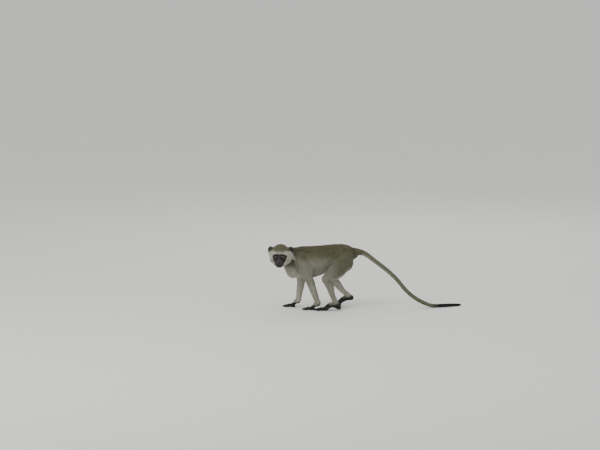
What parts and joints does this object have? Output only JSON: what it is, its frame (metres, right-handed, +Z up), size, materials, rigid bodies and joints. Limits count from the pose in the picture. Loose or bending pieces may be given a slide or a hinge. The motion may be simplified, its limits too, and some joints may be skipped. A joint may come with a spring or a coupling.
{
  "type": "vervet monkey",
  "caption": "Life-size still model of a vervet monkey standing on all fours in mid-stride, head turned to its left, long tail trailing on the floor.",
  "frame": {"origin": "middle of the floor plan, on the floor", "axes": "-X the way the animal walks, +X along the tail, +Y its right side, +Z up; the face looks towards -Y"},
  "size_m": [0.9018, 0.2058, 0.3072],
  "materials": {
    "olive_coat": "grizzled olive fur",
    "grey_coat": "grizzled grey fur",
    "pale_coat": "soft whitish fur",
    "black_coat": "short black fur and skin",
    "dark_skin": "bare dark skin",
    "eye": "wet, glossy"
  },
  "bodies": {
    "root": {"belly": "pale_coat", "chest": "olive_coat", "ear_left": "dark_skin", "ear_right": "dark_skin", "eye_left": "eye", "eye_right": "eye", "foot_left": "black_coat", "foot_right": "black_coat", "forearm_left": "grey_coat", "forearm_right": "grey_coat", "hand_left": "black_coat", "hand_right": "black_coat", "head": "olive_coat", "neck": "olive_coat", "rump": "olive_coat", "shank_left": "grey_coat", "shank_right": "grey_coat", "tail_lower": "grey_coat", "tail_root": "grey_coat", "tail_tip": "black_coat", "tail_upper": "grey_coat", "thigh_left": "grey_coat", "thigh_right": "grey_coat", "upper_arm_left": "grey_coat", "upper_arm_right": "grey_coat"}
  },
  "joints": []
}
